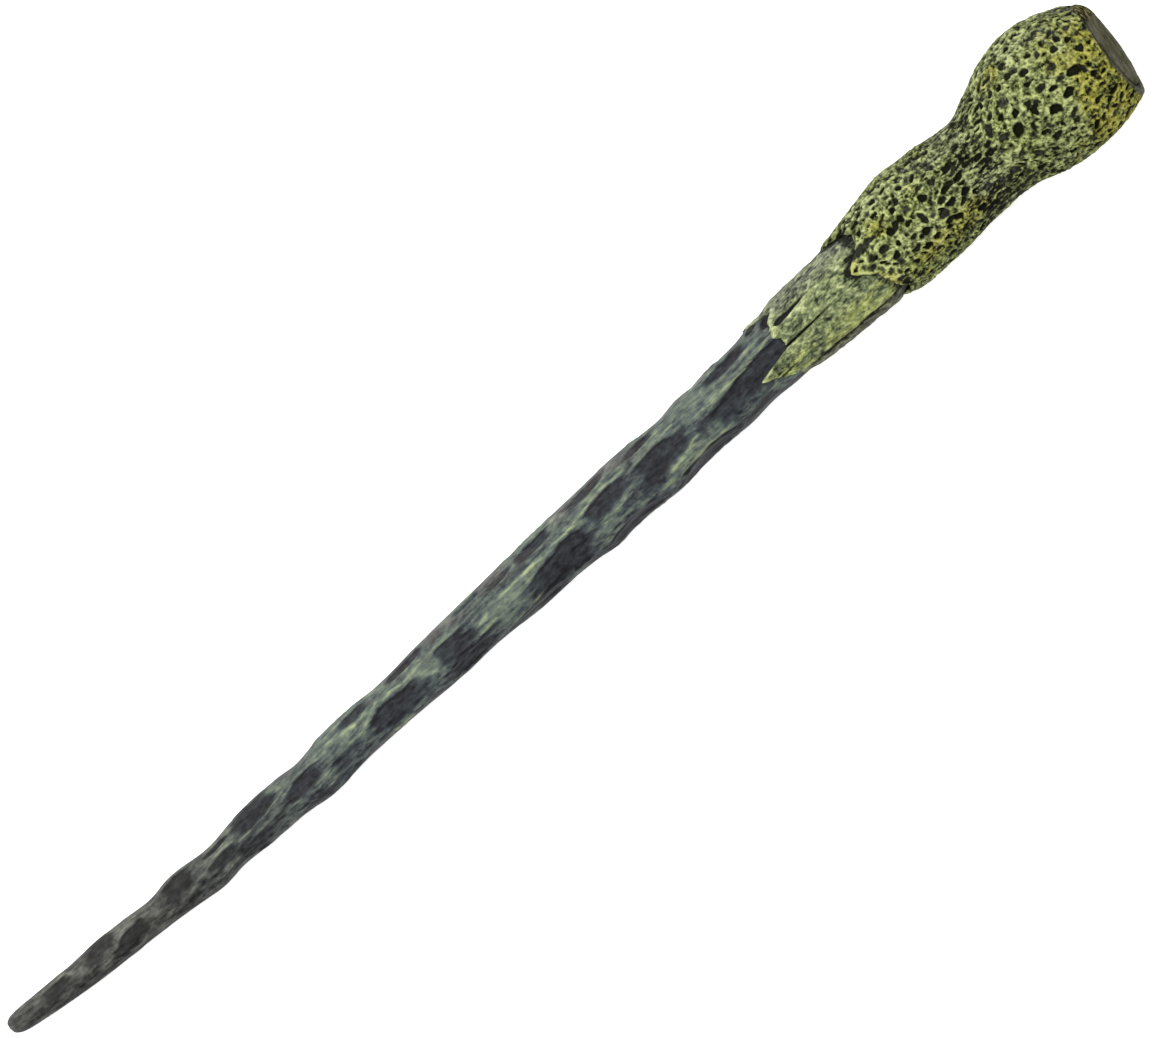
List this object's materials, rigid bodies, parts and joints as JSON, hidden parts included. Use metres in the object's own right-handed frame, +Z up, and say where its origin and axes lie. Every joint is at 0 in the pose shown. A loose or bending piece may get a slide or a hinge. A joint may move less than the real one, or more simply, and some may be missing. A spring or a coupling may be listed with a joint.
{
  "type": "magic wand",
  "caption": "Carved stage wand: a tapering whittled shaft on a steel core, with a pitted bark grip that swells into a bulb and ends in a slanted flat cap.",
  "frame": {"origin": "bottom centre of the whole wand as it lies at rest, on the surface that it lies on", "axes": "+X along the wand from the tip towards the pommel, +Z up, away from the surface it lies on; the tip bends towards +Y"},
  "size_m": [0.3604, 0.0364, 0.0364],
  "materials": {
    "rod_steel": "bright drawn steel rod",
    "shaft_paint": "satin charcoal paint, dry-brushed grey-green on the ridges",
    "core_resin": "unpainted cast resin",
    "underbark_paint": "streaky light green over grey, matte",
    "bark_paint": "dark wash in the pits, dry-brushed yellow-green on top, matte",
    "cap_grey": "smooth neutral grey, matte"
  },
  "bodies": {
    "root": {"core_rod": "rod_steel", "shaft": "shaft_paint", "handle_core": "core_resin", "underbark_upper_strip": "underbark_paint", "underbark_middle_strip": "underbark_paint", "underbark_lower_strip": "underbark_paint", "underbark_back_strip": "underbark_paint", "grip_bark": "bark_paint", "pommel_cap": "cap_grey"}
  },
  "joints": []
}
